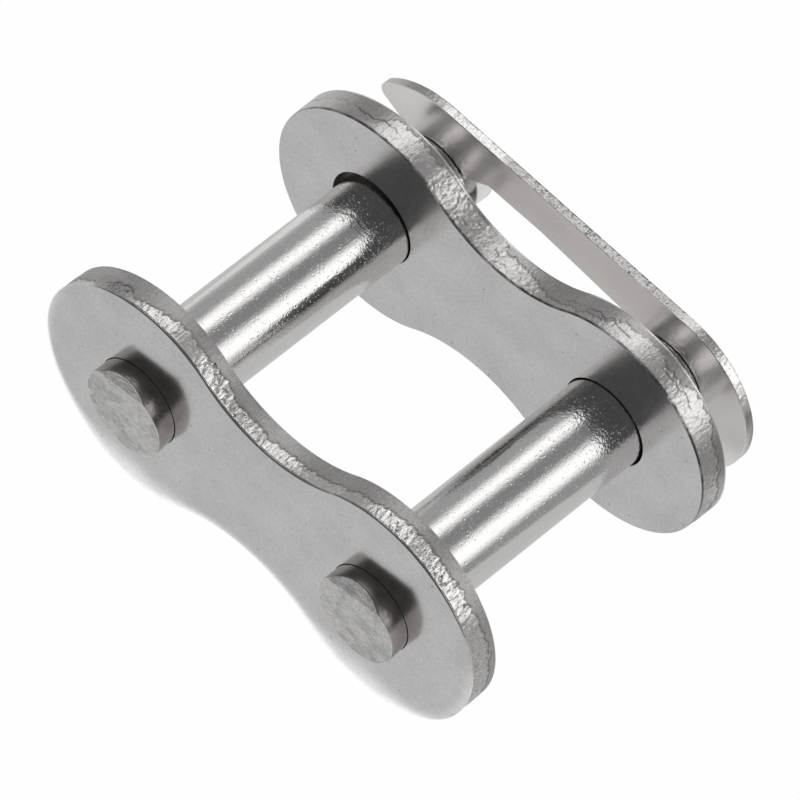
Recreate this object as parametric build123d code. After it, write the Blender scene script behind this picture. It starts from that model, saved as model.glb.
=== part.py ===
from build123d import *
import math
import os

# Spring-clip connecting link for single-strand roller chain of half-inch pitch.
#
# Two pins are pressed into the pin plate. The loose cover plate slips over their far ends,
# and a flat spring clip snaps into a groove in each pin and keeps the cover plate on.
#
# Frame: the origin is on the axis of pin 1, midway between the two plates. +X runs to
# pin 2, +Y along the pins from the pin plate to the clip, and +Z up across the plates.
# The link stands on the round ends of its two plates. All sizes are in millimetres.

# Chain
pitch = 12.70                 # between the two pin axes
inner_gap = 11.50             # between the facing sides of the two plates

# Plates: one stamped outline, used twice
plate_height = 10.52          # across each round end
waist_height = 6.68           # across the narrowest place, midway between the pins
plate_thickness = 1.50
edge_roll = 0.16              # rounding that the punch leaves round the first edge
breakout_depth = 0.50         # part of the thickness that tore instead of shearing
breakout_angle = 4.0          # how far the torn part of the rim leans in, in degrees

# Pins
pin_diameter = 3.96
pin_proud = 0.93              # how far the pressed end stands out of the pin plate
pin_tail = 1.10               # past the groove, at the clip's end
tail_chamfer = 0.22
groove_diameter = 3.00
groove_clearance = 0.06       # groove width beyond the clip's thickness, both sides together

# Cropped end of each pin, as the shear leaves it
crop_lean = 3.0               # of the end face, from square to the pin, in degrees
droop_angle = 30.0            # of the flat along its top, in degrees
droop_height = 1.46           # from the axis of the pin to the start of that flat
droop_turn = 8.0              # of the flat about the axis of the pin, in degrees

# Slip fit of the cover plate
hole_clearance_1 = 0.20       # round pin 1, on the radius
hole_clearance_2 = 0.12       # round pin 2, on the radius
cover_play = 1.91             # from the back of the cover plate to the clip

# Spring clip
clip_thickness = 0.42
clip_open_height = 8.40       # across the legs at pin 1
clip_closed_height = 7.90     # across the closed end
clip_closed_reach = 4.42      # from the axis of pin 2 to the closed end
clip_throat = 2.30            # snap opening, narrower than the groove
mouth_angle = 25.0            # slope of each lip of the mouth, in degrees
slot_clearance = 0.12         # round a pin's full diameter in the widest part of the slot
slot_start = 2.70             # widest part of the slot, from the axis of pin 1
slot_end = 5.60
leg_tip_rounding = 0.42
slot_rounding = 0.60
clip_edge_break = 0.05        # bevel that tumbling leaves round the front edges

# Values that follow from the ones above
pin_radius = pin_diameter / 2
groove_radius = groove_diameter / 2
lobe_radius = plate_height / 2
waist_half = waist_height / 2
pin_plate_inner = -inner_gap / 2
pin_plate_outer = pin_plate_inner - plate_thickness
cover_front = inner_gap / 2
cover_back = cover_front + plate_thickness
clip_front = cover_back + cover_play
clip_back = clip_front + clip_thickness
groove_front = clip_front - groove_clearance / 2
groove_back = clip_back + groove_clearance / 2
pin_near_end = pin_plate_outer - pin_proud
pin_far_end = groove_back + pin_tail
pin_centres = [0.0, pitch]


def facing_back(y):
    """Sketch plane across the pins at y. It extrudes towards the clip, along +Y."""
    return Plane(origin=(0, y, 0), x_dir=(1, 0, 0), z_dir=(0, 1, 0))


def plate_outline():
    """Two round ends joined by hollow waists. Each waist arc is tangent to both ends."""
    half_pitch = pitch / 2
    waist_radius = (half_pitch**2 + waist_half**2 - lobe_radius**2) / (2 * (lobe_radius - waist_half))
    waist_centre = waist_half + waist_radius
    reach = math.hypot(half_pitch, waist_centre)
    join_x = lobe_radius * half_pitch / reach
    join_y = lobe_radius * waist_centre / reach
    with BuildSketch() as outline:
        with BuildLine():
            ThreePointArc((join_x, join_y), (-lobe_radius, 0), (join_x, -join_y))
            ThreePointArc((join_x, -join_y), (half_pitch, -waist_half), (pitch - join_x, -join_y))
            ThreePointArc((pitch - join_x, -join_y), (pitch + lobe_radius, 0), (pitch - join_x, join_y))
            ThreePointArc((pitch - join_x, join_y), (half_pitch, waist_half), (join_x, join_y))
        make_face()
    return outline.sketch


def stamped_plate(hole_radii):
    """The plate at the pins' near ends. Its outer side is the one that the punch came in at."""
    punched_face = pin_plate_outer
    sheared_depth = plate_thickness - breakout_depth
    with BuildPart() as plate:
        with BuildSketch(facing_back(punched_face)):
            add(plate_outline())
        extrude(amount=sheared_depth)
        fillet(plate.edges().group_by(Axis.Y)[0], radius=edge_roll)
        with BuildSketch(facing_back(punched_face + sheared_depth)):
            add(plate_outline())
        extrude(amount=breakout_depth, taper=breakout_angle)
        for centre, hole_radius in zip(pin_centres, hole_radii):
            with BuildSketch(facing_back(punched_face)):
                with Locations((centre, 0)):
                    Circle(hole_radius)
            extrude(amount=plate_thickness, mode=Mode.SUBTRACT)
    return plate.part


def turned_pin(centre):
    """Pin with a groove for the clip, a chamfered tail and a cropped near end."""
    blank_end = pin_near_end - pin_radius
    with BuildPart() as pin:
        with BuildSketch():
            with BuildLine():
                Polyline(
                    (0, blank_end),
                    (pin_radius, blank_end),
                    (pin_radius, groove_front),
                    (groove_radius, groove_front),
                    (groove_radius, groove_back),
                    (pin_radius, groove_back),
                    (pin_radius, pin_far_end - tail_chamfer),
                    (pin_radius - tail_chamfer, pin_far_end),
                    (0, pin_far_end),
                    close=True,
                )
            make_face()
        revolve(axis=Axis.Y)
        # The shear leaves the end leaning a little, with a steeper flat along its top
        lean = (droop_height + pin_diameter) * math.tan(math.radians(crop_lean))
        droop = (pin_diameter - droop_height) * math.tan(math.radians(droop_angle))
        with BuildSketch(Plane.YZ):
            with BuildLine():
                Polyline(
                    (pin_near_end, droop_height),
                    (pin_near_end + droop, pin_diameter),
                    (blank_end - pin_radius, pin_diameter),
                    (blank_end - pin_radius, -pin_diameter),
                    (pin_near_end + lean, -pin_diameter),
                    close=True,
                )
            make_face()
        extrude(amount=pin_diameter, both=True, mode=Mode.SUBTRACT)
    return pin.part.moved(Location((centre, 0, 0), (0, -droop_turn, 0)))


def clip_outline():
    """Flat spring: round closed end at pin 2, two legs, and a snap mouth at pin 1."""
    open_radius = clip_open_height / 2
    closed_radius = clip_closed_height / 2
    closed_centre = pitch + clip_closed_reach - closed_radius
    slot_half = pin_radius + slot_clearance
    throat_half = clip_throat / 2
    throat_x = -math.sqrt(groove_radius**2 - throat_half**2)
    mouth_x = -clip_open_height
    mouth_half = throat_half + (throat_x - mouth_x) * math.tan(math.radians(mouth_angle))
    ramp_x = groove_radius * math.cos(math.radians(45))
    with BuildSketch() as outline:
        Circle(open_radius)
        with Locations((closed_centre, 0)):
            Circle(closed_radius)
        make_hull()
        # Snap mouth: two lips that flare from the throat to the open end
        with BuildLine():
            Polyline(
                (throat_x, throat_half),
                (mouth_x, mouth_half),
                (mouth_x, -mouth_half),
                (throat_x, -throat_half),
                close=True,
            )
        make_face(mode=Mode.SUBTRACT)
        # Slot: wide enough to pass a pin, then tapering onto the groove of pin 2
        with BuildLine():
            Polyline(
                (ramp_x, ramp_x),
                (slot_start, slot_half),
                (slot_end, slot_half),
                (pitch, groove_radius),
                (pitch, -groove_radius),
                (slot_end, -slot_half),
                (slot_start, -slot_half),
                (ramp_x, -ramp_x),
                close=True,
            )
        make_face(mode=Mode.SUBTRACT)
        with Locations((0, 0), (pitch, 0)):
            Circle(groove_radius, mode=Mode.SUBTRACT)
        for side in (1, -1):
            for x in (slot_start, slot_end):
                corner = outline.vertices().sort_by_distance((x, side * slot_half))[0]
                fillet(corner, radius=slot_rounding)
            throat = outline.vertices().sort_by_distance((throat_x, side * throat_half))[0]
            fillet(throat, radius=leg_tip_rounding / 2)
            corners = outline.vertices().filter_by(lambda v: v.Y * side > 0)
            fillet(corners.sort_by(Axis.X)[0], radius=leg_tip_rounding)
    return outline.sketch


def spring_clip():
    with BuildPart() as clip:
        with BuildSketch(facing_back(clip_front)):
            add(clip_outline())
        extrude(amount=clip_thickness)
        chamfer(clip.edges().group_by(Axis.Y)[0], length=clip_edge_break)
    return clip.part


def cover_plate():
    """The same stamping with wider holes, the other way round: its rolled edge is outside too."""
    slip_holes = [pin_radius + hole_clearance_1, pin_radius + hole_clearance_2]
    return mirror(stamped_plate(slip_holes), about=Plane.XZ)


nodes = {
    "pin_plate": stamped_plate([pin_radius, pin_radius]),
    "pin_1": turned_pin(pin_centres[0]),
    "pin_2": turned_pin(pin_centres[1]),
    "cover_plate": cover_plate(),
    "spring_clip": spring_clip(),
}

os.makedirs("parts", exist_ok=True)
for name, solid in nodes.items():
    export_step(solid, f"parts/{name}.step")
    box = solid.bounding_box()
    print(f"{name}: {solid.volume:.2f} mm3, from {box.min} to {box.max}")
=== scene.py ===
# %% [markdown]
# # The connecting link of a roller chain
# A roller chain is closed with one link that comes apart. Two pins are pressed into a plate, a
# second plate slips over their far ends, and a flat spring clip snaps into grooves in the pins.
# Everything is plain steel, so the picture is made of reflections: shapes have to be exact
# where they are smooth, and torn where the press tore them. This lesson starts from the solids
# of the link, which fix where each piece lies, and gives each of them a modelled stand-in.

# %% The solids that give the frame
import math

import bmesh
import bpy
from mathutils import Matrix, Vector, noise


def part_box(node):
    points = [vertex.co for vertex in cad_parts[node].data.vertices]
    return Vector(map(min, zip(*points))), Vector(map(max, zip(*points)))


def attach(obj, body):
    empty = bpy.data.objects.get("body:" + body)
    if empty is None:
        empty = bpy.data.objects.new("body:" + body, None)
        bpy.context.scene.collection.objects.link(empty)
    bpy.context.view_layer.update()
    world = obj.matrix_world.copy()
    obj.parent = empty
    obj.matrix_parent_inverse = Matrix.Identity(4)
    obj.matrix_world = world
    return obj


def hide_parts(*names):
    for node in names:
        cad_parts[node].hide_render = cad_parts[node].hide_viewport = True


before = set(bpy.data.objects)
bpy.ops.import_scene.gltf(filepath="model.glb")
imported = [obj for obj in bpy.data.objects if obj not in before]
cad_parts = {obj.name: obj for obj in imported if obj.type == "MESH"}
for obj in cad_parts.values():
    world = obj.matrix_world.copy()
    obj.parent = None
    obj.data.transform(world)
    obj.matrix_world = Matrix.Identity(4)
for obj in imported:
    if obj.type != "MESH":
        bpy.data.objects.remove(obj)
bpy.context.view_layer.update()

MM = 0.001
print("nodes:", sorted(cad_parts))

# %% [markdown]
# ## Sizes
# All sizes are in millimetres, and the meshes are scaled to metres when they are finished.
# The origin is on the axis of pin 1, midway between the plates. X runs to pin 2, Y along the
# pins towards the clip, and Z up. The places of the plates and the clip are read from the
# solids, so that only the sizes of an outline are written here.

# %% Sizes of the link
PITCH = 12.70
LOBE_RADIUS = 5.26
WAIST_HALF = 3.34
PLATE_THICKNESS = 1.50
PIN_RADIUS = 1.98
GROOVE_RADIUS = 1.50
CLIP_THICKNESS = 0.42


def y_ends(node):
    """Y of a node's front and back, in millimetres."""
    low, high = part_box(node)
    return low.y / MM, high.y / MM


PIN_PLATE_FRONT = y_ends("pin_plate")[0]
COVER_BACK = y_ends("cover_plate")[1]
CLIP_FRONT = y_ends("spring_clip")[0]
PIN_END, PIN_TAIL_END = y_ends("pin_1")
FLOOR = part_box("pin_plate")[0].z / MM
print("plates from y =", round(PIN_PLATE_FRONT, 2), "to", round(COVER_BACK, 2), "mm")
print("pin 1 from y =", round(PIN_END, 2), "to", round(PIN_TAIL_END, 2), "mm")

# %% [markdown]
# ## Writing finishes as sums
# A finish is a network of nodes, and most of them only add or multiply two numbers. Joining
# those by hand hides the idea, so a small class wraps an output socket: arithmetic on it adds
# Math nodes.

# %% Wires
class Wire:
    """An output socket. Arithmetic on wires adds Math nodes to their shader."""

    def __init__(self, shader, socket):
        self.shader, self.socket = shader, socket

    def output(self, name):
        """Another output of the same node."""
        return Wire(self.shader, self.socket.node.outputs[name])

    def maths(self, operation, *others):
        return self.shader.node("ShaderNodeMath", {"operation": operation}, [self, *others])

    def __add__(self, other):
        return self.maths("ADD", other)

    def __mul__(self, other):
        return self.maths("MULTIPLY", other)

    def __sub__(self, other):
        return self.maths("SUBTRACT", other)

    def __rsub__(self, other):
        return self.shader.node("ShaderNodeMath", {"operation": "SUBTRACT"}, [other, self])

    __radd__, __rmul__ = __add__, __mul__


# %% [markdown]
# ## One method for every other node
# Every node that isn't plain arithmetic comes from one method, which takes its type, its
# settings and what goes into its sockets. The other methods are the few words that all the
# finishes of this link are written in: fade, mix, tint and grain, and steel to end with.

# %% Shaders
class Shader:
    """A node tree that is filled one node at a time."""

    def __init__(self, owner):
        owner.use_nodes = True
        self.tree = owner.node_tree
        self.tree.nodes.clear()

    def node(self, kind, settings=None, inputs=(), output=0):
        """Adds a node, sets it up, fills its inputs and gives one of its outputs."""
        made = self.tree.nodes.new(kind)
        for name, value in (settings or {}).items():
            setattr(made, name, value)
        pairs = inputs.items() if isinstance(inputs, dict) else enumerate(inputs)
        for key, value in pairs:
            if isinstance(value, Wire):
                self.tree.links.new(value.socket, made.inputs[key])
            else:
                made.inputs[key].default_value = value
        return Wire(self, made.outputs[output] if len(made.outputs) else None)

    def fade(self, value, low, high, at_low=0.0, at_high=1.0):
        """Eases from at_low to at_high as value goes from low to high."""
        return self.node(
            "ShaderNodeMapRange", {"interpolation_type": "SMOOTHSTEP"},
            [value, low, high, at_low, at_high],
        )

    def mix(self, share, below, above):
        """Colour that goes from below to above as share goes from 0 to 1."""
        return self.node(
            "ShaderNodeMix", {"data_type": "RGBA"}, {0: share, 6: below, 7: above}, output=2
        )

    def tint(self, colour, factor):
        """Colour times a grey factor."""
        grey = self.node("ShaderNodeCombineColor", {}, [factor, factor, factor])
        return self.node(
            "ShaderNodeMix", {"data_type": "RGBA", "blend_type": "MULTIPLY"},
            {0: 1.0, 6: colour, 7: grey}, output=2,
        )

    def millimetres(self, stretch=(1, 1, 1)):
        """Place on the piece in millimetres, from its own coordinates."""
        spot = self.node("ShaderNodeTexCoord", output="Object")
        scale = tuple(s / MM for s in stretch)
        return self.node("ShaderNodeVectorMath", {"operation": "MULTIPLY"}, [spot, scale])

    def grain(self, place, scale, detail=2.0, roughness=0.5):
        """Noise from 0 to 1."""
        return self.node(
            "ShaderNodeTexNoise", {},
            {"Vector": place, "Scale": scale, "Detail": detail, "Roughness": roughness},
        )

    def stored(self, name):
        """Number that the mesh stores on its vertices."""
        return self.node("ShaderNodeAttribute", {"attribute_name": name}, output="Fac")

    def steel(self, colour, roughness, height):
        """Bare metal with relief of a height in millimetres. It ends the material."""
        relief = {"Height": height, "Distance": MM, "Strength": 1.0}
        normal = self.node("ShaderNodeBump", {}, relief)
        skin = self.node(
            "ShaderNodeBsdfPrincipled", {},
            {"Base Color": colour, "Roughness": roughness, "Metallic": 1.0, "Normal": normal},
        )
        self.node("ShaderNodeOutputMaterial", {}, [skin])


def new_material(name):
    """A material and the shader that fills it."""
    material = bpy.data.materials.new(name)
    return material, Shader(material)


# %% [markdown]
# ## Steel of the plates
# The faces keep the bright skin of rolled sheet: nearly a mirror, dulled by a fine grain and
# dotted with small pits. The rim has two finishes. Where the tools burnished it, it is bright
# and fluted, and elsewhere it is dull and grainy. The mesh stores which is which, and how far
# round the rim and how deep in it each vertex lies, so that flutes run across the rim on
# every side.

# %% Parts of a rim's finish
BRIGHT_ROUGH = 0.22


def pits(shader, place, scale, size, share):
    """Sparse round dots: 1 in a dot. Share is how many of the cells have one."""
    cell = shader.node(
        "ShaderNodeTexVoronoi", {}, {"Vector": place, "Scale": scale, "Randomness": 1.0}
    )
    luck = shader.node("ShaderNodeSeparateColor", {}, [cell.output("Color")])
    return shader.fade(cell, size, size * 0.4) * shader.fade(luck, share, share - 0.02)


def rim_place(shader, across):
    """Place on a rim in millimetres: round it, and across it times a factor."""
    parts = [shader.stored("along"), shader.stored("depth") * across, 0.0]
    return shader.node("ShaderNodeCombineXYZ", {}, parts)


def rim_finish(s, bright_colour, dull_colour, dull_rough):
    """Colour, roughness and relief of a rim, from what the mesh stores."""
    shorn, crack_and_shade, fluted = s.stored("shorn"), s.stored("crack_and_shade"), s.stored("fluted")
    flutes = s.grain(rim_place(s, across=0.22), 6.5, 2.0, 0.6)
    streaks = s.grain(rim_place(s, across=0.10), 9.0, 3.0, 0.6)
    crumbs = s.grain(s.millimetres(), 7.0, 3.0, 0.65)
    grit = s.grain(s.millimetres(), 16.0, 2.0, 0.6)
    dull = s.tint(dull_colour, 0.12 + crumbs * 0.52 + grit * 0.74 + streaks * 0.42)
    bright = flutes * fluted + (crumbs * 0.6 + grit * 0.4) * (1 - fluted)
    bright = s.tint(bright_colour, 0.58 + bright * 0.82)
    # The stored crack mark darkens the colour here as painted shade in the rim's cracks, seams, lip,
    # veins and pits.
    colour = s.tint(s.mix(shorn, dull, bright), 1 - crack_and_shade * 0.85)
    roughness = dull_rough + shorn * (BRIGHT_ROUGH - dull_rough) + crumbs * 0.06
    height = flutes * fluted * shorn * 0.035 + crumbs * (0.010 + shorn * 0.008)
    height = height + grit * 0.006 + streaks * 0.008
    return colour, roughness, height


# %% Finish of the plates
PLATE_FACE = (0.70, 0.690, 0.687, 1)


def plate_steel(name, face_rough, bright_colour, dull_colour, dull_rough, bore_shade_colour):
    """Bright pitted face, two-coloured rim, and bores painted dark as shade."""
    material, s = new_material(name)
    place = s.millimetres()
    cloud = s.grain(place, 0.5, 3.0)
    fine = s.grain(place, 7.0, 3.0, 0.6)
    dots = pits(s, place, 1.9, 0.13, 0.30)
    specks = pits(s, place, 4.5, 0.20, 0.25)
    grit = s.grain(place, 17.0, 2.0, 0.7)
    rim, bore, polish_and_sheen = s.stored("rim"), s.stored("bore"), s.stored("polish_and_sheen")
    edge, edge_rough, edge_height = rim_finish(s, bright_colour, dull_colour, dull_rough)
    face = s.tint(PLATE_FACE, 0.50 + cloud * 0.28 + fine * 0.34 + grit * 0.38)
    # The polished strip along the lower roll also lightens the colour, as a painted sheen; the lower
    # roughness below is the real polish.
    face = s.tint(face, 1 - dots * 0.45 - specks * 0.16 + polish_and_sheen * 0.32)
    # Bores take a dark colour, as painted shade in the holes.
    colour = s.mix(bore, s.mix(rim, face, edge), bore_shade_colour)
    flat_rough = (face_rough + fine * 0.05 + dots * 0.12) * (1 - polish_and_sheen * 0.4)
    roughness = flat_rough * (1 - rim) + edge_rough * rim + bore * 0.3
    height = (fine * 0.0008 - dots * 0.003) * (1 - rim) + edge_height * rim
    s.steel(colour, roughness, height)
    return material


pin_plate_steel = plate_steel(
    "pin_plate_steel", face_rough=0.14, bright_colour=(0.86, 0.845, 0.835, 1),
    dull_colour=(0.50, 0.49, 0.485, 1), dull_rough=0.42, bore_shade_colour=(0.07, 0.066, 0.064, 1),
)
cover_steel = plate_steel(
    "cover_plate_steel", face_rough=0.20, bright_colour=(0.74, 0.725, 0.715, 1),
    dull_colour=(0.47, 0.46, 0.455, 1), dull_rough=0.27, bore_shade_colour=(0.36, 0.34, 0.33, 1),
)
print("plate finishes:", pin_plate_steel.name, cover_steel.name)

# %% [markdown]
# ## Steel of the pins
# The pins are hardened, ground and tumbled. Long bands of light run along them, and where a
# band meets a dark one, shallow pits break the border into sparks. The cropped end is flat
# but scratched. Pits are relief, so a bump makes them, and the bands come from the room.

# %% Finish of the pins
PIN_SIDE = (0.73, 0.722, 0.716, 1)
PIN_PROUD = (0.42, 0.39, 0.375, 1)
PIN_CUT = (0.71, 0.70, 0.692, 1)


def pin_steel():
    """Ground side, browner proud end and scratched cut, where the mesh stores 'cropped'."""
    material, s = new_material("pin_steel")
    place = s.millimetres()
    fine = s.grain(place, 9.0, 2.0, 0.6)
    coarse = s.grain(place, 4.5, 2.0, 0.5)
    drawn = s.grain(s.millimetres((1, 0.08, 1)), 6.0, 2.0, 0.5)
    scratch = s.grain(s.millimetres((1.6, 1, 9)), 2.2, 4.0, 0.75)
    blotch = s.grain(place, 1.4, 3.0, 0.6)
    grit = s.grain(place, 18.0, 2.0, 0.7)
    nicks = pits(s, place, 5.0, 0.30, 0.45)
    dints = pits(s, place, 9.0, 0.34, 0.55)
    y = s.node("ShaderNodeSeparateXYZ", {}, [place], output="Y")
    end = s.stored("cropped")
    proud = s.fade(y, PIN_PLATE_FRONT + 0.05, PIN_PLATE_FRONT - 0.02) * (1 - end)
    worn = s.fade(y, 2.0, 4.6)

    side = s.tint(PIN_SIDE, 0.82 + fine * 0.12 + drawn * 0.12 + grit * 0.16)
    side = s.mix(proud, side, s.tint(PIN_PROUD, 0.55 + blotch * 0.9))
    smear = s.fade(blotch, 0.36, 0.56, 0.78, 1.0) * (1 - pits(s, place, 3.6, 0.17, 0.6) * 0.42)
    rubbed = s.fade(scratch, 0.38, 0.62, 0.74, 1.14) * s.fade(grit, 0.25, 0.75, 0.84, 1.18)
    colour = s.mix(end, side, s.tint(PIN_CUT, rubbed * smear))
    # 'cropped' is between 0 and 1 on the bevel alone, which this paints lighter as a painted
    # highlight round the cut end.
    colour = s.tint(colour, 1 + end * (1 - end) * 2.4)
    roughness = (0.11 + fine * 0.06 + proud * 0.10) * (1 - end) + 0.27 * end
    height = coarse * (0.0035 + worn * 0.006) + fine * (0.0028 + worn * 0.0035) + drawn * 0.0012
    height = height - nicks * (0.0045 + worn * 0.004) - dints * (0.0030 + worn * 0.002)
    height = height * (1 - end) + (scratch * 0.010 + grit * 0.004) * end
    s.steel(colour, roughness, height)
    return material


pin_finish = pin_steel()
print("pin finish:", pin_finish.name)

# %% [markdown]
# ## Steel of the clip
# The clip is stamped from bright spring strip. Its faces are the lightest on the link and a
# little warm, and its thin rim is rough all round, since strip this hard tears almost at once.

# %% Finish of the clip
CLIP_FACE = (0.98, 0.95, 0.93, 1)
CLIP_BRIGHT = (0.90, 0.885, 0.87, 1)
CLIP_DULL = (0.37, 0.362, 0.355, 1)


def clip_steel():
    """Light, slightly warm face, and a rough rim."""
    material, s = new_material("clip_steel")
    place = s.millimetres()
    fine = s.grain(place, 7.0, 3.0, 0.6)
    cloud = s.grain(place, 0.6, 2.0)
    rim = s.stored("rim")
    edge, edge_rough, edge_height = rim_finish(s, CLIP_BRIGHT, CLIP_DULL, dull_rough=0.30)
    face = s.tint(CLIP_FACE, 0.90 + fine * 0.12 + cloud * 0.06)
    colour = s.mix(rim, face, edge)
    roughness = (0.19 + fine * 0.05) * (1 - rim) + edge_rough * rim
    height = fine * 0.0008 * (1 - rim) + edge_height * rim
    s.steel(colour, roughness, height)
    return material


clip_finish = clip_steel()
print("clip finish:", clip_finish.name)

# %% [markdown]
# ## Walking an outline
# Plates and clip are cut from sheet, so each starts as an outline in the XZ plane. Curves could
# be drawn with a Bezier curve, but their points would be unevenly spaced, and the torn rim
# needs small, even steps. Spinning a single vertex round a centre gives an arc of equal
# steps, and moving an extruded vertex gives a straight run.

# %% Steps along an outline
STEP = 0.045


def arc(bm, start, centre, degrees):
    """Spins a vertex round centre (x, z). Positive turns run clockwise seen from the front."""
    cx, cz = centre
    reach = math.hypot(start.co.x - cx, start.co.z - cz)
    turns = max(2, round(abs(math.radians(degrees)) * reach / STEP))
    spun = bmesh.ops.spin(
        bm, geom=[start], cent=(cx, start.co.y, cz), axis=(0, 1, 0), dvec=(0, 0, 0),
        angle=math.radians(degrees), steps=turns, use_merge=False, use_normal_flip=False,
        use_duplicate=False,
    )
    return [v for v in spun["geom_last"] if isinstance(v, bmesh.types.BMVert)][0]


def run(bm, start, end):
    """Straight run from a vertex to (x, z) in equal steps."""
    whole = Vector((end[0], start.co.y, end[1])) - start.co
    count = max(1, round(whole.length / STEP))
    for _ in range(count):
        made = bmesh.ops.extrude_vert_indiv(bm, verts=[start])
        start = made["verts"][0]
        bmesh.ops.translate(bm, verts=[start], vec=whole / count)
    return start


def bearing(point, centre):
    """Clockwise angle in degrees of a point seen from centre, from straight up."""
    return math.degrees(math.atan2(point[0] - centre[0], point[1] - centre[1]))


def arc_to(bm, start, centre, end, clockwise=True):
    """Arc round centre from a vertex to the bearing of the point end."""
    turn = bearing(end, centre) - bearing((start.co.x, start.co.z), centre)
    turn = turn % 360 if clockwise else turn % 360 - 360
    return arc(bm, start, centre, turn)


# %% [markdown]
# ## Remembering which way is out
# Every ring of the plate is the outline again, moved inwards and back. Each vertex of the first
# ring therefore stores the direction that is outwards there and how far along the rim it lies.
# Extruding copies these two values to the new vertices, so each new ring only has to be moved.

# %% Closing the outline
STORED = ("along", "depth", "shorn", "crack_and_shade", "fluted", "rim", "bore", "polish_and_sheen")


def sheet_mesh():
    """Empty bmesh with room for what the vertices of a stamped piece store."""
    bm = bmesh.new()
    bm.verts.layers.float_vector.new("outward")
    for name in STORED:
        bm.verts.layers.float.new(name)
    return bm


def close_outline(bm, first, last):
    """Welds the ends of a walked outline, and stores 'outward' and 'along' on its vertices."""
    bmesh.ops.weld_verts(bm, targetmap={last: first})
    outward = bm.verts.layers.float_vector["outward"]
    along = bm.verts.layers.float["along"]
    ring = list(bm.verts)
    total = 0.0
    for i, v in enumerate(ring):
        following = ring[(i + 1) % len(ring)]
        ahead = (following.co - ring[i - 1].co).normalized()
        v[outward] = Vector((-ahead.z, 0, ahead.x))
        v[along] = total
        total += (following.co - v.co).length
    return list(bm.edges), total


# %% Sweeping a ring
def next_ring(bm, edges):
    """Extrudes a ring of edges. Gives the new vertices, not moved yet, and their edges."""
    made = bmesh.ops.extrude_edge_only(bm, edges=edges)["geom"]
    new = {g for g in made if isinstance(g, bmesh.types.BMVert)}
    return new, [g for g in made if isinstance(g, bmesh.types.BMEdge) and set(g.verts) <= new]


def sweep(bm, edges, profile):
    """Extrudes a ring of edges through the profile's points, each (inwards, back) in mm."""
    outward = bm.verts.layers.float_vector["outward"]
    for here, there in zip(profile, profile[1:]):
        new, edges = next_ring(bm, edges)
        for v in new:
            v.co -= v[outward] * (there[0] - here[0])
            v.co.y += there[1] - here[1]
    return edges


# %% [markdown]
# ## Holes
# A hole of the real plate is punched, and then broken round both ends. An inset and a bevel
# would need the flat face first, and here that comes last, so the wall is made alone: a circle
# is extruded back in five steps. The wall is painted dark as shade, and that painted shade
# starts and stops within a hair of both ends, so that it doesn't spread over the flat face. In
# the pin plate the front half lies a little to the right, with the pin that was squeezed over.

# %% Drilling
ROUND_STEPS = 160
HAIR = 0.004


def drill(bm, centre, radius, thickness, edge_break, slip):
    """Wall of a round hole, broken at both ends, its front half moved to the right by slip."""
    bore = bm.verts.layers.float["bore"]
    x, z = centre[0] + slip, centre[1]
    wide = radius + edge_break
    made = bmesh.ops.create_circle(
        bm, cap_ends=False, segments=ROUND_STEPS, radius=wide,
        matrix=Matrix.Translation((x, 0, z)) @ Matrix.Rotation(math.pi / 2, 4, "X"),
    )
    front_ring = list(dict.fromkeys(e for v in made["verts"] for e in v.link_edges))
    edges = front_ring
    for reach, y, dark in (
        (wide - HAIR, HAIR, 1), (radius, edge_break, 1), (radius, thickness - edge_break, 1),
        (wide - HAIR, thickness - HAIR, 1), (wide, thickness, 0),
    ):
        new, edges = next_ring(bm, edges)
        new_x = centre[0] + (slip if y < thickness / 2 else 0.0)
        for v in new:
            arm = Vector((v.co.x - x, 0, v.co.z - z)).normalized() * reach
            v.co = Vector((new_x, y, z)) + arm
            v[bore] = dark
        x = new_x
    return front_ring, edges


# %% [markdown]
# ## How a press leaves a rim
# A punch first bends the sheet a little, then shears it, and the rest tears. The tools drag
# over the rim and leave it fluted in some places, scaly, granular or smooth in others, and
# ragged lines part these fields. A bump map could paint that, but the flutes are seen at the
# silhouette and flash one by one as the link turns, so the rim is dense enough to carry them
# as shape. Small tilted scales, each a cell of a Voronoi pattern, give the crisp flashes.
# A rim is a closed loop, so a pattern is read on a circle of the same length, and its end
# meets its start. Everything is pushed inwards, which keeps the piece within its own solid.

# %% Patterns that go round a rim
TILT_SPREAD = 37.0
SCALE_BORDER = 0.12


def smooth_step(low, high, value):
    """Eases from 0 to 1 as value goes from low to high."""
    t = min(1.0, max(0.0, (value - low) / (high - low)))
    return t * t * (3 - 2 * t)


def round_place(along, total, scale, depth):
    """Place on a closed rim, in cells of a pattern. It comes round to its own start."""
    turn = 2 * math.pi * along / total
    reach = total / (2 * math.pi) * scale
    return Vector((math.cos(turn) * reach, math.sin(turn) * reach, depth))


def round_noise(along, total, scale, seed, depth=0.0):
    """Smooth noise from -1 to 1 on a closed rim."""
    shift = Vector((seed, seed * 0.37, seed * 0.71))
    return noise.noise(round_place(along, total, scale, depth) + shift)


def scales(place):
    """Height of small tilted scales from -1 to 1, and how near their borders are, 0 to 1."""
    reach, spots = noise.voronoi(place)
    tilt = noise.cell_vector(spots[0] * TILT_SPREAD) * 2 - Vector((1, 1, 1))
    return tilt.dot(place - spots[0]), max(0.0, 1 - (reach[1] - reach[0]) / SCALE_BORDER)


def fields_at(fields, along):
    """Reads a table of fields round the rim, each (along, reach, flutes, grains, shine)."""
    last = fields[0]
    for here in fields[1:]:
        if along <= here[0]:
            t = (along - last[0]) / (here[0] - last[0])
            return [a + (b - a) * t for a, b in zip(last[1:], here[1:])]
        last = here
    return last[1:]


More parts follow.
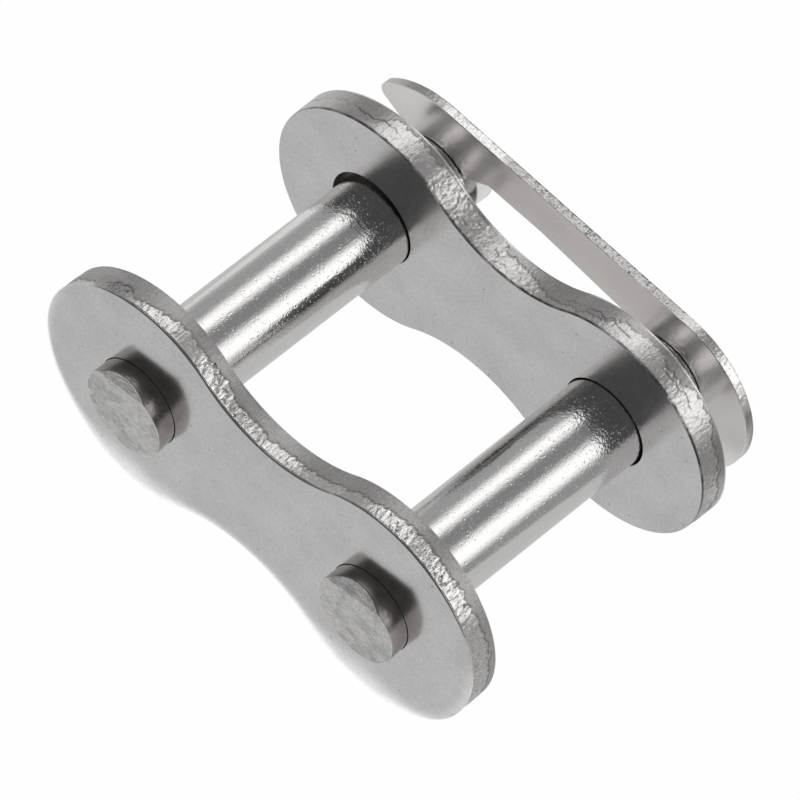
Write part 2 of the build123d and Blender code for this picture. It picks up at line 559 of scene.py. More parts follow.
# %% [markdown]
# ## Where the fields end
# A table tells how deep the worked field reaches at each place of a rim. Three sizes of noise
# make its far border ragged. On the loose plate two fine marks come with it: a lip where the
# burr was rubbed off, and veins, which are thin tears that wander through the smoother fields.
# Both marks are pressed in a little and also painted dark as shade. Each mark is a curve of distance,
# 1 on its line and 0 a little beside it.

# %% Borders, lips and veins
VEIN_DEPTH = 0.42
VEIN_WIDTH = 0.028


def on_line(distance, width):
    """1 on a line, falling to 0 over about a width, both in millimetres."""
    return math.exp(-((distance / width) ** 2))


def ragged_border(look, reach, along, total):
    """How deep the worked field reaches, as a share of the thickness."""
    border = reach + look["sway"] * round_noise(along, total, scale=0.8, seed=3.0)
    border += look["ragged"] * round_noise(along, total, scale=2.6, seed=11.0)
    return border + look["ragged"] * 0.8 * round_noise(along, total, scale=8.0, seed=17.0)


def rubbed_lip(look, depth, along, total):
    """Strength of a line close to the burr side, which is pressed in and painted dark as shade."""
    lip = look["lip"] * smooth_step(0.92, 0.94, depth) * smooth_step(0.998, 0.990, depth)
    return lip * (0.7 + 0.5 * round_noise(along, total, scale=2.0, seed=5.0))


def fine_vein(look, share, grains, thickness, along, total):
    """Thin tear that wanders round VEIN_DEPTH and stays out of coarse grains."""
    off = share - VEIN_DEPTH - 0.16 * round_noise(along, total, scale=1.7, seed=41.0)
    off -= 0.07 * round_noise(along, total, scale=6.0, seed=43.0)
    shown = smooth_step(0.0, 0.12, round_noise(along, total, scale=0.55, seed=47.0))
    shown *= smooth_step(0.020, 0.010, grains)
    return look["veins"] * on_line(off * thickness, VEIN_WIDTH) * shown


# %% [markdown]
# ## Pressing the relief in
# Each vertex of the rim is pushed inwards: by flutes, which are scales drawn out from front to
# back, by grains, which are as long as they are wide, and by the crack where the worked field
# ends. The dull rest swells softly. What the finish has to know is stored on the vertex.

# %% Relief of the rims
BORDER_SOFTNESS = 0.03
CRACK_WIDTH, CRACK_DEPTH = 0.03, 0.02
FINE_MARK_DEPTH = 0.012


def tear_rim(bm, thickness, total, look):
    """Presses flutes, grains and a ragged line into the rim, and stores where they are."""
    outward = bm.verts.layers.float_vector["outward"]
    store = {name: bm.verts.layers.float[name] for name in STORED}
    starts, ends = look["starts"], look["ends"]
    for v in bm.verts:
        at, depth = v[store["along"]], v.co.y / thickness
        share = 1 - depth if look["from_far"] else depth
        reach, flutes, grains, shine = fields_at(look["fields"], at)
        border = ragged_border(look, reach, at, total)
        worked = smooth_step(BORDER_SOFTNESS, -BORDER_SOFTNESS, share - border)
        slanted = at + v.co.y * 0.35
        fold, seam = scales(round_place(slanted, total, look["flute_scale"], v.co.y * 1.6))
        grain, pit = scales(Vector(v.co) * look["grain_scale"])
        swell = round_noise(at, total, scale=1.4, seed=31.0, depth=v.co.y * 1.2)
        crack_and_shade = look["crack_and_shade"] * on_line((share - border) * thickness, CRACK_WIDTH)
        crack_and_shade *= smooth_step(0.0, 0.012, flutes + grains)
        lip = rubbed_lip(look, depth, at, total)
        vein = fine_vein(look, share, grains, thickness, at, total)
        seam_shade = worked * seam * look["seam_shade"] * smooth_step(0.0, 0.02, flutes)
        holes = worked * smooth_step(0.013, 0.021, grains) * (1 - shine) * smooth_step(0.2, 0.7, pit)

        push = worked * (flutes * (fold - 0.8 - seam * 0.5) + grains * (grain - 0.8 - pit * 0.4))
        push += (1 - worked) * look["dull_depth"] * (swell - 1.0)
        push -= CRACK_DEPTH * crack_and_shade + look["step"] * (1 - worked)
        inside = smooth_step(starts, starts + 0.05, depth) * smooth_step(ends, ends - 0.05, depth)
        v[store["depth"]] = v.co.y
        v.co += v[outward] * push * inside
        v.co -= v[outward] * FINE_MARK_DEPTH * (vein + lip) * inside
        v[store["shorn"]] = worked * shine
        v[store["fluted"]] = smooth_step(0.0, 0.025, flutes)
        # This mark is painted shade: it darkens the crack line, the seams between flutes, the lip,
        # the veins and the pits among grains.
        v[store["crack_and_shade"]] = min(1.0, crack_and_shade + seam_shade + lip + vein + holes * 0.8)
        on_rim = smooth_step(starts - 0.01, starts + 0.02, depth) * smooth_step(1.0, 0.992, depth)
        v[store["rim"]] = on_rim


# %% [markdown]
# ## Stamped plates
# Both plates come from one die: a disc round each pin, joined by a waist. Five spins, each from
# where the last one stopped, walk all the way round. The walk starts under pin 1, in the
# middle of a disc, and the angle where a disc meets the waist follows from the radii.

# %% The stamped outline
def plate_outline(bm, y):
    """Disc, waist, disc, waist, starting under pin 1. Returns its edges and its length."""
    half = PITCH / 2
    waist_radius = (half**2 + WAIST_HALF**2 - LOBE_RADIUS**2) / (2 * (LOBE_RADIUS - WAIST_HALF))
    waist_centre = WAIST_HALF + waist_radius
    join = math.degrees(math.atan2(half, waist_centre))
    first = bm.verts.new((0, y, -LOBE_RADIUS))
    v = arc(bm, first, (0, 0), 180 + join)
    v = arc(bm, v, (half, waist_centre), -2 * join)
    v = arc(bm, v, (PITCH, 0), 180 + 2 * join)
    v = arc(bm, v, (half, -waist_centre), -2 * join)
    v = arc(bm, v, (0, 0), join)
    return close_outline(bm, first, v)


# %% [markdown]
# ## Closing a piece
# The flat faces are filled between their rings at the end. Whatever a piece is, it is then
# scaled to metres and shaded smooth, but for steep edges and for faces of many corners, which
# are the cut ends of the pins. Last, the piece is hung on the empty of the body that carries it,
# and the node of the solids that it stands for is hidden.

# %% Filling and finishing
FILL_TURN = math.radians(33)
CREASE = math.radians(35)
FLAT_CORNERS = 20
TO_FRONT, TO_BACK = (0, -1, 0), (0, 1, 0)


def fill_flat(bm, edges, facing):
    """Fills the rings of a flat side, turned while it works: level arcs give it folded slivers."""
    turn = Matrix.Rotation(FILL_TURN, 4, "Y")
    rings = list(dict.fromkeys(v for e in edges for v in e.verts))
    bmesh.ops.transform(bm, matrix=turn, verts=rings)
    bmesh.ops.triangle_fill(bm, use_beauty=True, use_dissolve=False, edges=edges, normal=facing)
    bmesh.ops.transform(bm, matrix=turn.inverted(), verts=rings)


def finish_piece(bm, name, body, node, material):
    """Turns a bmesh in millimetres into a finished piece that stands for a node."""
    bmesh.ops.scale(bm, vec=(MM, MM, MM), verts=bm.verts)
    bmesh.ops.recalc_face_normals(bm, faces=bm.faces)
    for face in bm.faces:
        face.smooth = len(face.verts) < FLAT_CORNERS
    for edge in bm.edges:
        if edge.calc_face_angle() > CREASE:
            edge.smooth = False
    mesh = bpy.data.meshes.new(name)
    bm.to_mesh(mesh)
    bm.free()
    piece = bpy.data.objects.new(name, mesh)
    bpy.context.scene.collection.objects.link(piece)
    mesh.materials.append(material)
    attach(piece, body)
    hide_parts(node)
    print(name, "faces:", len(mesh.polygons))


# %% [markdown]
# ## From outline to plate
# A press bends the sheet's first edge round, shears most of the rim and tears the last third,
# where it leans in. So the outline is swept forwards over the soft roll that the punch leaves,
# and back along the rim to the burr side. A narrow flat band ends each sweep, so that smooth
# shading stops at the flat face instead of leaking over it. A worn punch rolls one side more
# than the other, so the roll is tighter along the lower side, where tumbling has also polished
# it. There the roll's colour is also lightened towards the edge, as a painted sheen. The outline
# starts in the middle of that side, so each of these two zones has a pair of places before the
# start and a pair after it: where the zone is over, and where it is full.

# %% Building one plate
ROLL = [(0.0, 0.215), (0.006, 0.19), (0.022, 0.165), (0.05, 0.145), (0.09, 0.128), (0.14, 0.111),
        (0.21, 0.09), (0.30, 0.066), (0.40, 0.044), (0.52, 0.025), (0.66, 0.011), (0.82, 0.003),
        (0.94, 0.0), (0.98, 0.0)]
ROLL_TOP = ROLL[0][1]
POLISH_AND_SHEEN_ZONE = (36.0, 39.0), (11.5, 9.0)
POLISH_AND_SHEEN_WIDTH = 0.55
TIGHT_ZONE = (37.5, 40.0), (3.5, 1.0)
TIGHTENING = 0.72
BREAKOUT = 0.50
BREAKOUT_SLOPE = math.tan(math.radians(4.0))
RIM_ROWS = 26
BURR_TURN = [(0.0, -0.04), (0.010, -0.012), (0.03, 0.0), (0.06, 0.0)]


def rim_profile(thickness):
    """Rim from under the roll to the burr side, leaning in where the sheet tore."""
    drop = thickness + BURR_TURN[0][1] - ROLL_TOP
    depths = [ROLL_TOP + drop * i / RIM_ROWS for i in range(RIM_ROWS + 1)]
    lean = [max(0.0, d - (thickness - BREAKOUT)) * BREAKOUT_SLOPE for d in depths]
    turn = [(lean[-1] + inwards, thickness + back) for inwards, back in BURR_TURN[1:]]
    return list(zip(lean, depths)) + turn


def in_zone(zone, along):
    """1 inside a zone on both sides of the outline's start, and 0 outside it."""
    before, after = zone
    return smooth_step(*before, along) + smooth_step(*after, along)


def rub_roll(bm):
    """Tightens the roll along the lower side, and stores where it is polished and lightened as a
    painted sheen.
    """
    along, polish_and_sheen = bm.verts.layers.float["along"], bm.verts.layers.float["polish_and_sheen"]
    for v in bm.verts:
        if v.co.y < ROLL_TOP - 0.001:
            inset = [inwards for inwards, y in ROLL if y <= v.co.y + 1e-5][0]
            v[polish_and_sheen] = smooth_step(POLISH_AND_SHEEN_WIDTH, 0.0, inset) * in_zone(POLISH_AND_SHEEN_ZONE, v[along])
            v.co.y *= 1 - TIGHTENING * in_zone(TIGHT_ZONE, v[along])


def stamped_plate(holes, edge_break, slip, look):
    """bmesh of one plate, from its rolled side at y = 0 back. Holes are (centre, radius)."""
    bm = sheet_mesh()
    ring, total = plate_outline(bm, ROLL_TOP)
    fronts = sweep(bm, ring, ROLL)
    rub_roll(bm)
    backs = sweep(bm, ring, rim_profile(PLATE_THICKNESS))
    tear_rim(bm, PLATE_THICKNESS, total, look)
    for centre, radius in holes:
        near, far = drill(bm, centre, radius, PLATE_THICKNESS, edge_break, slip)
        fronts += near
        backs += far
    fill_flat(bm, fronts, TO_FRONT)
    fill_flat(bm, backs, TO_BACK)
    return bm


# %% [markdown]
# ## The plate with the pins pressed in
# The rolled side of this plate is at the front, and the fluted field lies next to it. How deep
# the field reaches, and whether it is fluted, granular or bright, changes round the rim, so a
# short table tells it. A row holds the millimetres from under pin 1, clockwise, the field's
# reach as a share of the thickness, the depth of its flutes and of its grains in millimetres,
# and how much it shines. The pins are pressed into the plate's holes, and only the small bevel
# of each hole shows as a dark line, its wall painted dark as shade. The shear that cropped the
# pins squeezed them a hair to the right at the front of their holes.

# %% Pin plate
PIN_PLATE_RIM = {
    "fields": [
        (0, 0.50, 0.020, 0.006, 0.7), (9.5, 0.40, 0.015, 0.006, 0.4), (11.6, 0.32, 0.010, 0.010, 0.6),
        (12.7, 0.28, 0.006, 0.008, 0.6), (13.3, 0.18, 0, 0, 0.1), (13.9, 0.50, 0, 0.022, 0.05),
        (14.8, 0.50, 0, 0.022, 0.1), (15.2, 0.30, 0.012, 0.004, 0.8), (16.2, 0.46, 0.030, 0, 1),
        (17.1, 0.57, 0.034, 0, 1), (17.7, 0.62, 0.006, 0.004, 0.8), (18.5, 0.62, 0.006, 0.006, 0.8),
        (18.9, 0.62, 0.034, 0, 1), (20.4, 0.68, 0.042, 0, 1), (21.0, 0.56, 0.036, 0, 1),
        (22.8, 0.53, 0.030, 0, 0.95), (24.4, 0.56, 0.030, 0.004, 0.95),
        (25.4, 0.50, 0.012, 0.010, 0.7), (26.3, 0.47, 0.004, 0.016, 0.45),
        (28.2, 0.47, 0.004, 0.016, 0.4), (28.9, 0.52, 0.030, 0.004, 0.9),
        (30.3, 0.62, 0.040, 0, 1), (31.6, 0.58, 0.040, 0, 1), (33.0, 0.64, 0.040, 0, 1),
        (34.4, 0.62, 0.034, 0, 1), (35.0, 0.66, 0.010, 0.016, 0.5), (37.0, 0.80, 0.006, 0.020, 0.4),
        (39.0, 0.70, 0.006, 0.022, 0.5), (45, 0.50, 0.020, 0.006, 0.7),
    ],
    "from_far": False, "starts": 0.15, "ends": 0.99, "sway": 0.06, "ragged": 0.10,
    "flute_scale": 4.6, "grain_scale": 6.0, "crack_and_shade": 0.8, "seam_shade": 0.55, "lip": 0.0,
    "veins": 0.0, "dull_depth": 0.004, "step": 0.010,
}
SQUEEZE = 0.02
SEATS = [((0, 0), PIN_RADIUS + HAIR), ((PITCH, 0), PIN_RADIUS + HAIR)]
plate = stamped_plate(SEATS, edge_break=0.03, slip=SQUEEZE, look=PIN_PLATE_RIM)
bmesh.ops.translate(plate, verts=plate.verts, vec=(0, PIN_PLATE_FRONT, 0))
finish_piece(
    plate, "pin_plate_steelwork", "pin_link", "pin_plate", pin_plate_steel
)

# %% [markdown]
# ## The loose cover plate
# The same die cut this plate, and it goes on the other way round, with its rolled side
# outside: scaling the finished mesh by -1 along Y turns it. Its sharp burr side faces the
# pins, and next to it the rim is torn in patches, while the rest is smooth, with fine streaks
# across it. Its holes are larger than the pins, because it has to slip over them by hand,
# and it hangs on them a little off their axes.

# %% Cover plate
COVER_RIM = {
    "fields": [
        (0, 0.40, 0.008, 0.006, 0.6), (11.0, 0.12, 0, 0, 0.3), (12.3, 0.45, 0, 0.006, 0.15),
        (14.3, 0.40, 0, 0.006, 0.15), (14.8, 0.12, 0, 0, 0.2), (15.5, 0.25, 0.004, 0, 0.5),
        (16.0, 0.75, 0.008, 0.004, 1), (17.2, 0.75, 0.008, 0.004, 1),
        (17.6, 0.72, 0.003, 0.004, 0.75), (18.6, 0.70, 0.003, 0.006, 0.75),
        (18.9, 0.90, 0.006, 0.022, 0.85), (21.5, 0.90, 0.006, 0.022, 0.85),
        (21.9, 0.90, 0.002, 0.004, 0.9), (22.6, 0.82, 0.002, 0.004, 0.9),
        (22.9, 0.70, 0.008, 0.020, 0.9), (24.4, 0.55, 0.008, 0.016, 0.8),
        (25.0, 0.42, 0.008, 0.014, 0.7), (25.5, 0.25, 0.004, 0.006, 0.4),
        (28.0, 0.20, 0.003, 0.006, 0.4), (28.6, 0.30, 0.004, 0.008, 0.5),
        (29.3, 0.60, 0.010, 0.010, 0.8), (30.0, 0.60, 0.004, 0.006, 0.8),
        (30.4, 0.65, 0.002, 0.003, 0.95), (31.4, 0.60, 0.002, 0.003, 0.95),
        (31.7, 0.50, 0.008, 0.012, 0.7), (32.6, 0.60, 0.010, 0.008, 0.8),
        (33.0, 0.80, 0.012, 0.004, 1), (34.6, 0.80, 0.008, 0.004, 1), (35.2, 0.60, 0, 0.012, 0.5),
        (38.0, 0.60, 0, 0.018, 0.5), (39.0, 0.55, 0.004, 0.018, 0.5), (45, 0.40, 0.008, 0.006, 0.6),
    ],
    "from_far": True, "starts": 0.15, "ends": 0.99, "sway": 0.06, "ragged": 0.12,
    "flute_scale": 4.0, "grain_scale": 5.5, "crack_and_shade": 0.8, "seam_shade": 0.45, "lip": 1.3,
    "veins": 1.0, "dull_depth": 0.002, "step": 0.006,
}
COVER_HOLES = [((-0.10, 0.08), PIN_RADIUS + 0.155), ((PITCH + 0.02, -0.01), PIN_RADIUS + 0.07)]
plate = stamped_plate(COVER_HOLES, edge_break=0.02, slip=0.0, look=COVER_RIM)
bmesh.ops.scale(plate, verts=plate.verts, vec=(1, -1, 1))
bmesh.ops.translate(plate, verts=plate.verts, vec=(0, COVER_BACK, 0))
finish_piece(
    plate, "cover_plate_steelwork", "cover", "cover_plate", cover_steel
)

# %% [markdown]
# ## Pins
# A pin is turned, so its profile is spun round its axis. The groove for the clip has small
# broken edges that catch the light. The near end was cropped by a shear, which leaves the end
# leaning a little, with a steeper flat along its top. Two cuts by a plane make that end, each
# closed by a new face, and a fine bevel takes the sharpness off. The end faces stay flat
# shaded, so that the bevel's smooth shading doesn't spread over them. The shear also smears
# the end a little down and to the right, so the vertices there are moved at last.

# %% Profile of a pin
GROOVE_PLAY = 0.03
GROOVE_BREAK = 0.035
CROP_SPARE = 0.6
TAIL_BREAK = [(0.0, 0.22), (0.06, 0.10), (0.22, 0.0)]


def pin_profile():
    """(radius, y) from beyond the cropped end to the middle of the tail's face."""
    near, far = CLIP_FRONT - GROOVE_PLAY, CLIP_FRONT + CLIP_THICKNESS + GROOVE_PLAY
    stock = [PIN_END - CROP_SPARE, PIN_PLATE_FRONT, PIN_PLATE_FRONT + PLATE_THICKNESS]
    groove = [
        (PIN_RADIUS, near - GROOVE_BREAK), (PIN_RADIUS - GROOVE_BREAK, near),
        (GROOVE_RADIUS, near), (GROOVE_RADIUS, far),
        (PIN_RADIUS - GROOVE_BREAK, far), (PIN_RADIUS, far + GROOVE_BREAK),
    ]
    tail = [(PIN_RADIUS - inwards, PIN_TAIL_END - back) for inwards, back in TAIL_BREAK]
    return [(PIN_RADIUS, y) for y in stock] + groove + tail + [(0, PIN_TAIL_END)]


# %% Turning and cropping
CROP_LEAN = math.radians(3.0)
DROOP_ANGLE = math.radians(30.0)
END_BREAK = 0.03
SMEAR_RIGHT, SMEAR_DOWN = 0.12, 0.21
SMEAR_LENGTH = 0.93


def crop(bm, lean, ridge):
    """Cuts the near end by a plane through the ridge of the crop, and closes the cut."""
    cut = bmesh.ops.bisect_plane(
        bm, geom=bm.verts[:] + bm.edges[:] + bm.faces[:], dist=1e-5,
        plane_co=(0, PIN_END, ridge), plane_no=(0, -math.cos(lean), math.sin(lean)),
        clear_outer=True, clear_inner=False,
    )["geom_cut"]
    edges = [g for g in cut if isinstance(g, bmesh.types.BMEdge) and len(g.link_faces) < 2]
    bmesh.ops.edgeloop_fill(bm, edges=edges)


def cut_faces(bm):
    """The flat faces of the cropped end."""
    many = [f for f in bm.faces if len(f.verts) > FLAT_CORNERS]
    return [f for f in many if f.calc_center_median().y < PIN_END + 1]


def share_before(y, start, length):
    """Share of a length in front of start that y has covered, from 0 to 1."""
    return min(1.0, max(0.0, (start - y) / length))


def turned_pin(x, ridge, turn):
    """bmesh of a pin at x. The ridge of its crop is at that height, turned by that angle."""
    bm = bmesh.new()
    cropped = bm.verts.layers.float.new("cropped")
    line = [bm.verts.new((r, y, 0)) for r, y in pin_profile()]
    for a, b in zip(line, line[1:]):
        bm.edges.new((a, b))
    bmesh.ops.spin(
        bm, geom=bm.verts[:] + bm.edges[:], cent=(0, 0, 0), axis=(0, 1, 0), dvec=(0, 0, 0),
        angle=2 * math.pi, steps=ROUND_STEPS, use_merge=True, use_normal_flip=False,
        use_duplicate=False,
    )
    bmesh.ops.remove_doubles(bm, verts=bm.verts, dist=1e-4)
    crop(bm, -CROP_LEAN, ridge)
    crop(bm, DROOP_ANGLE, ridge)
    ends = cut_faces(bm)
    edges = dict.fromkeys(e for f in ends for e in f.edges)
    bmesh.ops.bevel(
        bm, geom=[e for e in edges if not all(f in ends for f in e.link_faces)],
        offset=END_BREAK, offset_type="OFFSET", segments=2, profile=0.5, affect="EDGES",
        material=-1, clamp_overlap=True,
    )
    for face in cut_faces(bm):
        for v in face.verts:
            v[cropped] = 1.0
    turned = Matrix.Rotation(math.radians(turn), 3, "Y")
    bmesh.ops.rotate(bm, cent=(0, 0, 0), matrix=turned, verts=bm.verts)
    for v in bm.verts:
        squeezed = share_before(v.co.y, PIN_PLATE_FRONT + PLATE_THICKNESS, PLATE_THICKNESS)
        smeared = share_before(v.co.y, PIN_PLATE_FRONT, SMEAR_LENGTH)
        smeared *= max(0.0, -v.co.z / PIN_RADIUS)
        to_right = SQUEEZE * squeezed + SMEAR_RIGHT * smeared
        v.co += Vector((to_right, 0, -SMEAR_DOWN * smeared))
    bmesh.ops.translate(bm, vec=(x, 0, 0), verts=bm.verts)
    return bm


# %% The two pins
shape_1 = turned_pin(x=0, ridge=1.54, turn=-8)
shape_2 = turned_pin(x=PITCH, ridge=1.42, turn=-10)
finish_piece(shape_1, "pin_1_steelwork", "pin_link", "pin_1", pin_finish)
finish_piece(shape_2, "pin_2_steelwork", "pin_link", "pin_2", pin_finish)

# %% [markdown]
# ## Spring clip
# The clip takes the most skill: one closed outline runs round the outside, in through the
# flared mouth, round the pocket that grips pin 1, along the slot that lets a pin pass, and
# round the pocket of pin 2. Its lips are rounded where a line meets an arc, and the centre of
# each rounding follows from its distance to both. The clip has a little play in its grooves,
# so its closed end sags by half a degree.

# %% Outline of the clip
CLIP_OPEN = 4.26
CLIP_CLOSED = 4.02
CLIP_REACH = 4.42
CLIP_CENTRE = PITCH + CLIP_REACH - CLIP_CLOSED
THROAT_HALF = 1.15
MOUTH = math.radians(25.0)
TIP_ROUND, NECK_ROUND = 0.42, 0.21
SLOT_HALF = 2.10
SLOT_START, SLOT_END, SLOT_ROUND = 2.70, 5.60, 0.60


def lip(rounding, circle):
    """Rounding between the mouth's slope and a circle about pin 1. Gives centre and ends."""
    throat = Vector((-math.sqrt(GROOVE_RADIUS**2 - THROAT_HALF**2), THROAT_HALF))
    slope = Vector((-math.cos(MOUTH), math.sin(MOUTH)))
    across = Vector((math.sin(MOUTH), math.cos(MOUTH)))
    off = throat.dot(across) + rounding
    reach = circle - rounding if circle > GROOVE_RADIUS else circle + rounding
    centre = across * off + slope * math.sqrt(reach**2 - off**2)
    return centre, centre - across * rounding, centre * (circle / reach)


def flip(point):
    """The same point of the clip's lower half."""
    return Vector((point[0], -point[1]))


def clip_outline(bm, y):
    """Round the outside from the upper tip, then in through the mouth and out again."""
    tip, tip_slope, tip_circle = lip(TIP_ROUND, CLIP_OPEN)
    neck, neck_slope, neck_circle = lip(NECK_ROUND, GROOVE_RADIUS)
    tilt = math.asin((CLIP_OPEN - CLIP_CLOSED) / CLIP_CENTRE)
    normal = Vector((math.sin(tilt), math.cos(tilt)))
    closed = Vector((CLIP_CENTRE, 0))
    ramp = Vector((GROOVE_RADIUS, GROOVE_RADIUS)) * math.sqrt(0.5)
    corner = Vector((SLOT_START, SLOT_HALF))
    climb = (corner - ramp).normalized()
    trim = SLOT_ROUND * math.tan(climb.angle(Vector((1, 0))) / 2)
    soft = corner + Vector((trim, -SLOT_ROUND))
    pin_2_side = Vector((PITCH, GROOVE_RADIUS))

    first = bm.verts.new((tip_slope.x, y, tip_slope.y))
    v = arc_to(bm, first, tip, tip_circle)
    v = arc_to(bm, v, (0, 0), normal)
    v = run(bm, v, closed + normal * CLIP_CLOSED)
    v = arc_to(bm, v, closed, closed + flip(normal))
    v = run(bm, v, flip(normal) * CLIP_OPEN)
    v = arc_to(bm, v, (0, 0), flip(tip_circle))
    v = arc_to(bm, v, flip(tip), flip(tip_slope))
    v = run(bm, v, flip(neck_slope))
    v = arc_to(bm, v, flip(neck), flip(neck_circle))
    v = arc_to(bm, v, (0, 0), flip(ramp), clockwise=False)
    v = run(bm, v, flip(corner - climb * trim))
    v = arc_to(bm, v, flip(soft), flip(corner + Vector((trim, 0))), clockwise=False)
    v = run(bm, v, (SLOT_END, -SLOT_HALF))
    v = run(bm, v, flip(pin_2_side))
    v = arc_to(bm, v, (PITCH, 0), pin_2_side, clockwise=False)
    v = run(bm, v, (SLOT_END, SLOT_HALF))
    v = run(bm, v, corner + Vector((trim, 0)))
    v = arc_to(bm, v, soft, corner - climb * trim, clockwise=False)
    v = run(bm, v, ramp)
    v = arc_to(bm, v, (0, 0), neck_circle, clockwise=False)
    v = arc_to(bm, v, neck, neck_slope)
    v = run(bm, v, tip_slope)
    return close_outline(bm, first, v)


# %% [markdown]
# ## From outline to clip
# The clip is built as a plate is, from its outline forwards and back. Its edges are broken by
# a fine bevel only, because thin hard strip doesn't bend under the punch. The rows of its
# table start at the upper tip, where the walk round its outline does.

# %% Building the clip
CLIP_RIM = {
    "fields": [
        (0, 1.3, 0.002, 0.003, 0.3), (2.6, 1.3, 0.002, 0.003, 0.25), (3.0, 1.3, 0.004, 0.014, 0.3),
        (4.1, 1.3, 0.006, 0.012, 0.4), (4.4, 1.0, 0.012, 0.006, 1), (7.2, 1.0, 0.012, 0.006, 1),
        (7.8, 1.3, 0.004, 0.022, 0.50), (16.8, 1.3, 0.004, 0.022, 0.45),
        (18.0, 1.3, 0.002, 0.006, 0.75), (18.7, 1.3, 0.004, 0.014, 0.35),
        (19.3, 1.1, 0.006, 0.010, 1), (21.8, 1.1, 0.006, 0.010, 1), (22.2, 1.3, 0, 0.006, 0.25),
        (23.4, 0.55, 0, 0.003, 0.3), (120, 0.8, 0.004, 0.006, 0.4),
    ],
    "from_far": False, "starts": 0.04, "ends": 0.99, "sway": 0.08, "ragged": 0.14,
    "flute_scale": 4.2, "grain_scale": 6.5, "crack_and_shade": 0.5, "seam_shade": 0.5, "lip": 0.0,
    "veins": 0.0, "dull_depth": 0.003, "step": 0.004,
}
CLIP_EDGE = 0.02
CLIP_ROWS = 10
SAG = math.radians(0.55)
clip = sheet_mesh()
ring, total = clip_outline(clip, CLIP_EDGE)
to_front = [(0, CLIP_EDGE), (0.01, 0.006), (0.025, 0.0), (0.055, 0.0)]
band = CLIP_THICKNESS - 2 * CLIP_EDGE
rows = [(0, CLIP_EDGE + band * i / CLIP_ROWS) for i in range(CLIP_ROWS + 1)]
to_back = rows + [(0.006, CLIP_THICKNESS - 0.008), (0.02, CLIP_THICKNESS), (0.05, CLIP_THICKNESS)]
face_ring = sweep(clip, ring, to_front)
back_ring = sweep(clip, ring, to_back)
tear_rim(clip, CLIP_THICKNESS, total, CLIP_RIM)
fill_flat(clip, face_ring, TO_FRONT)
fill_flat(clip, back_ring, TO_BACK)
bmesh.ops.rotate(clip, cent=(0, 0, 0), matrix=Matrix.Rotation(SAG, 3, "Y"), verts=clip.verts)
bmesh.ops.translate(clip, verts=clip.verts, vec=(0, CLIP_FRONT, 0))
finish_piece(
    clip, "spring_clip_steelwork", "pin_link", "spring_clip", clip_finish
)

# %% [markdown]
# ## The floor
# Small polished parts are lit from behind on white. The floor is white paper: it shows as
# plain white to the camera and still takes a trace of the part's soft shadow. In reflections
# it is white too, but darker where the part keeps the light off: under it, in front of it and
# a little to its right and behind it. Those places are bands of X and Y in millimetres, but
# the floor itself is so large that its size is given in metres.

# %% Paper
PAPER_COLOUR = (0.9, 0.9, 0.9, 1)
WHITE_SHARE = 0.992


def white_paper():
    """White to the camera but for a trace of shadow, and shaded by places in reflections."""
    material, s = new_material("paper")
    camera_ray = s.node("ShaderNodeLightPath", output="Is Camera Ray")
    glossy_ray = camera_ray.output("Is Glossy Ray")
    through_ray = camera_ray.output("Is Transmission Ray")
    x = s.node("ShaderNodeSeparateXYZ", {}, [s.millimetres()], output="X")
    y = x.output("Y")
    in_front = s.fade(y, -7.4, -8.2)
    under = s.fade(y, -6.2, -4.5) * s.fade(y, 10, 8.5)
    shaded = in_front + under
    behind = s.fade(y, 8.5, 10)
    right = s.fade(x, 19, 27) * (1 - shaded)
    strength = 1 + glossy_ray * (0.05 - shaded * 0.42 - right * 0.50 - behind * 0.20)
    matt = s.node("ShaderNodeBsdfDiffuse", {}, {"Color": PAPER_COLOUR})
    white = s.node("ShaderNodeEmission", {}, {"Color": (1, 1, 1, 1), "Strength": strength})
    share = camera_ray * WHITE_SHARE + glossy_ray + through_ray
    s.node("ShaderNodeOutputMaterial", {}, [s.node("ShaderNodeMixShader", {}, [share, matt, white])])
    return material


# %% Floor
FLOOR_HALF = 1.5
FLOOR_CENTRE = (0.006, 0.002)
bm = bmesh.new()
bmesh.ops.create_grid(bm, x_segments=1, y_segments=1, size=FLOOR_HALF)
bmesh.ops.translate(bm, vec=(*FLOOR_CENTRE, FLOOR * MM), verts=bm.verts)
floor_mesh = bpy.data.meshes.new("floor")
bm.to_mesh(floor_mesh)
bm.free()
floor = bpy.data.objects.new("floor", floor_mesh)
bpy.context.scene.collection.objects.link(floor)
floor_mesh.materials.append(white_paper())
print("floor at z =", round(FLOOR, 3), "mm")

# %% [markdown]
# ## The room
# A polished pin is a picture of the room wrapped round a cylinder. Two long soft boxes lie
# along the pins, one up to the left and one to the right, and give the two bright bands.
# Between them the room is mid grey, it is darker behind the camera, and white low down. The
# world paints that room by direction: psi is the angle round the Y axis, from straight up.

# %% Soft boxes and walls
def soft_box(s, psi, centre, half, soft):
    """Band of light along the pins, from -half to half round its centre, in degrees."""
    return s.fade((psi - centre).maths("ABSOLUTE"), half + soft, half - soft)


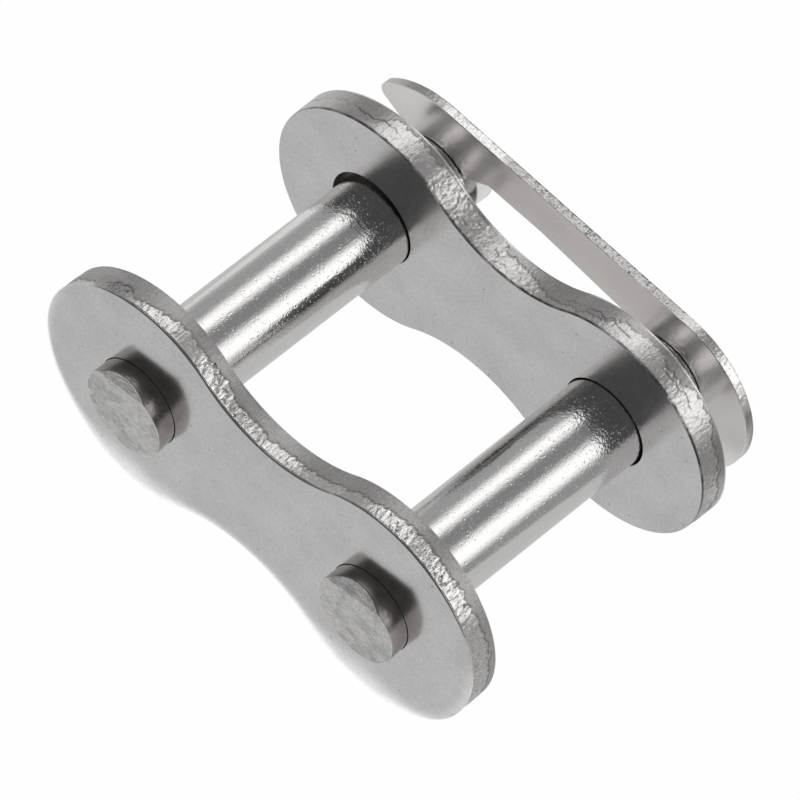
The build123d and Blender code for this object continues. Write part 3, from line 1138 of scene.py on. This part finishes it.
def paint_room(world):
    """White to the camera. The steel sees soft boxes and walls by direction."""
    s = Shader(world)
    towards = s.node("ShaderNodeTexCoord", output="Generated")
    x = s.node("ShaderNodeSeparateXYZ", {}, [towards], output="X")
    y, z = x.output("Y"), x.output("Z")
    psi = x.maths("ARCTAN2", z) * math.degrees(1)
    boxes = soft_box(s, psi, centre=-22, half=14, soft=12)
    boxes = boxes + soft_box(s, psi, centre=58, half=20, soft=14)
    far_wall = 0.34 + s.fade(psi, -28, -42, 0.0, 0.16) + s.fade(psi, -72, -98, 0.0, 0.32)
    far_side = far_wall + boxes * 1.4
    near_side = 0.12 + s.fade(psi, 100, 135, 0.0, 0.4) + s.fade(psi, -70, -105, 0.0, 0.4)
    behind_part = s.fade(y, -0.15, 0.30)
    room = near_side * (1 - behind_part) + far_side * behind_part
    room = room * s.fade(z, -0.16, 0.0) + s.fade(z, 0.0, -0.16)
    camera_ray = s.node("ShaderNodeLightPath", output="Is Camera Ray")
    light = room * (1 - camera_ray) + camera_ray
    s.node("ShaderNodeOutputWorld", {}, [s.node("ShaderNodeBackground", {}, {"Strength": light})])


world = bpy.data.worlds.new("studio")
bpy.context.scene.world = world
paint_room(world)
bpy.context.scene.view_settings.view_transform = "Standard"
print("room is lit:", len(world.node_tree.nodes), "nodes")

# %% [markdown]
# ## The camera
# The view is from well above and from the side of the pin plate, turned so that the link lies
# across the picture. A long lens from a third of a metre keeps both plates nearly the same
# size. An unturned camera looks straight down. Read from right to left, the rotations roll
# it, raise its view by what is left of a right angle, and turn it round the link.

# %% Camera
AIMED_AT = Vector((6.653, 0.544, -0.152)) * MM
DISTANCE = 352.83 * MM
AROUND, ABOVE, ROLLED = (math.radians(angle) for angle in (35.697, 55.047, 10.785))
lens = bpy.data.cameras.new("camera")
lens.lens = 408.259
lens.sensor_width = 36.0
lens.clip_start, lens.clip_end = 0.01, 5.0
camera = bpy.data.objects.new("camera", lens)
bpy.context.scene.collection.objects.link(camera)
camera.matrix_world = (
    Matrix.Translation(AIMED_AT)
    @ Matrix.Rotation(AROUND, 4, "Z") @ Matrix.Rotation(math.pi / 2 - ABOVE, 4, "X")
    @ Matrix.Rotation(ROLLED, 4, "Z") @ Matrix.Translation((0, 0, DISTANCE))
)
bpy.context.scene.camera = camera
print("camera", [round(c / MM, 1) for c in camera.location], "mm")
